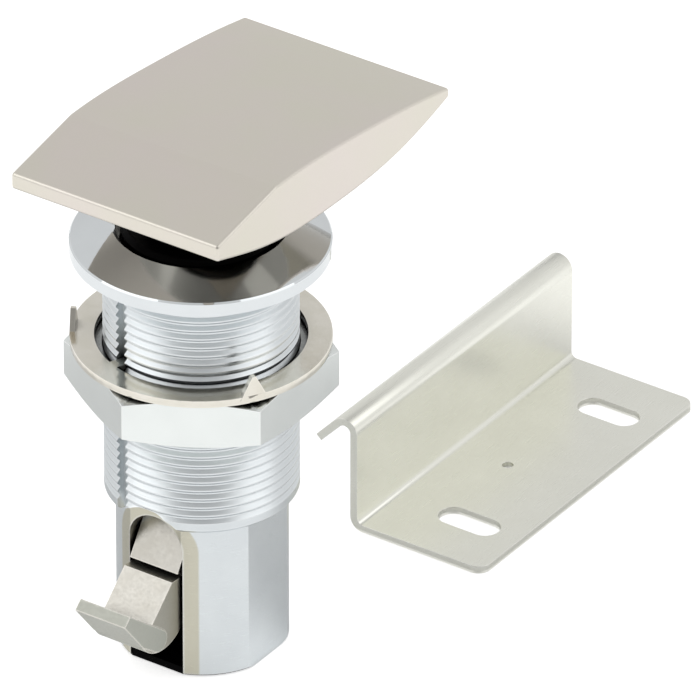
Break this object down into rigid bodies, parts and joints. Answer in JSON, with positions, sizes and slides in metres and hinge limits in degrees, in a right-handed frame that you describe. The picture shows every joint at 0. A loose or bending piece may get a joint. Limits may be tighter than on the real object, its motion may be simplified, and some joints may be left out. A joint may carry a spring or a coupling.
{
  "type": "flush cabinet latch",
  "caption": "Pull-to-open flush latch for a cabinet door: sprung handle over a threaded barrel with a swinging pawl, toothed washer, hex nut and hooked strike plate.",
  "frame": {"origin": "on the barrel's axis, at the underside of the flange, which lies on the door's face", "axes": "+Z out of the door towards the user, +Y along the handle's long tail, -Y the way the pawl looks"},
  "size_m": [0.0468, 0.1242, 0.0896],
  "materials": {
    "satin_nickel": "satin nickel plate on a cast block",
    "black_acetal": "moulded, slightly glossy",
    "black_rubber": "moulded seal rubber",
    "polished_chrome": "polished chrome plate",
    "satin_chrome": "satin chrome on a die casting",
    "nickel_nut": "bright nickel plate",
    "washer_steel": "zinc-passivated sheet steel",
    "pawl_steel": "tumbled steel",
    "stainless_sheet": "satin stainless sheet",
    "bright_steel": "turned steel",
    "spring_steel": "drawn wire",
    "black_sheet": "black phosphated sheet steel",
    "bronze": "sintered bronze"
  },
  "bodies": {
    "housing_body": {"housing": "satin_chrome", "rosette": "polished_chrome", "strike_plate": "stainless_sheet", "spindle_bush": "bronze", "bush_circlip": "spring_steel", "stop_washer": "black_rubber", "pawl_cage": "black_sheet", "pawl_pin": "bright_steel", "pawl_washers": "bronze", "cage_circlip": "spring_steel", "return_spring": "spring_steel", "foot_cap": "black_acetal"},
    "handle_unit": {"handle": "satin_nickel", "handle_insert": "bronze", "neck_sleeve": "black_acetal", "sleeve_ring": "black_rubber", "spindle": "bright_steel", "spindle_locknut": "bright_steel", "spring_seat": "bright_steel", "seat_clip": "spring_steel", "drive_pin": "bright_steel"},
    "pawl_body": {"pawl": "pawl_steel"},
    "washer_body": {"toothed_washer": "washer_steel"},
    "nut_body": {"hex_nut": "nickel_nut"}
  },
  "joints": [
    {"name": "handle_pull", "type": "slide", "parent": "housing_body", "child": "handle_unit", "axis": [0, 0, 1], "range_m": [0, 0.0075], "stiffness_N_per_m": 800, "springref_m": -0.004, "deforming": ["return_spring"]},
    {"name": "pawl_swing", "type": "hinge", "parent": "housing_body", "child": "pawl_body", "pos_m": [0, -0.0065, -0.0453], "axis": [1, 0, 0], "range_deg": [0, 60]},
    {"name": "washer_slide", "type": "slide", "parent": "housing_body", "child": "washer_body", "axis": [0, 0, 1], "range_m": [-0.0165, 0.0115]},
    {"name": "nut_turn", "type": "hinge", "parent": "washer_body", "child": "nut_body", "pos_m": [0, 0, -0.0205], "axis": [0, 0, 1], "range_deg": [-3960, 2760]}
  ],
  "couplings": [
    {"joint": "pawl_swing", "follows": "handle_pull", "rad_per_m": 139.6},
    {"joint": "nut_turn", "follows": "washer_slide", "rad_per_m": 4188.8}
  ]
}
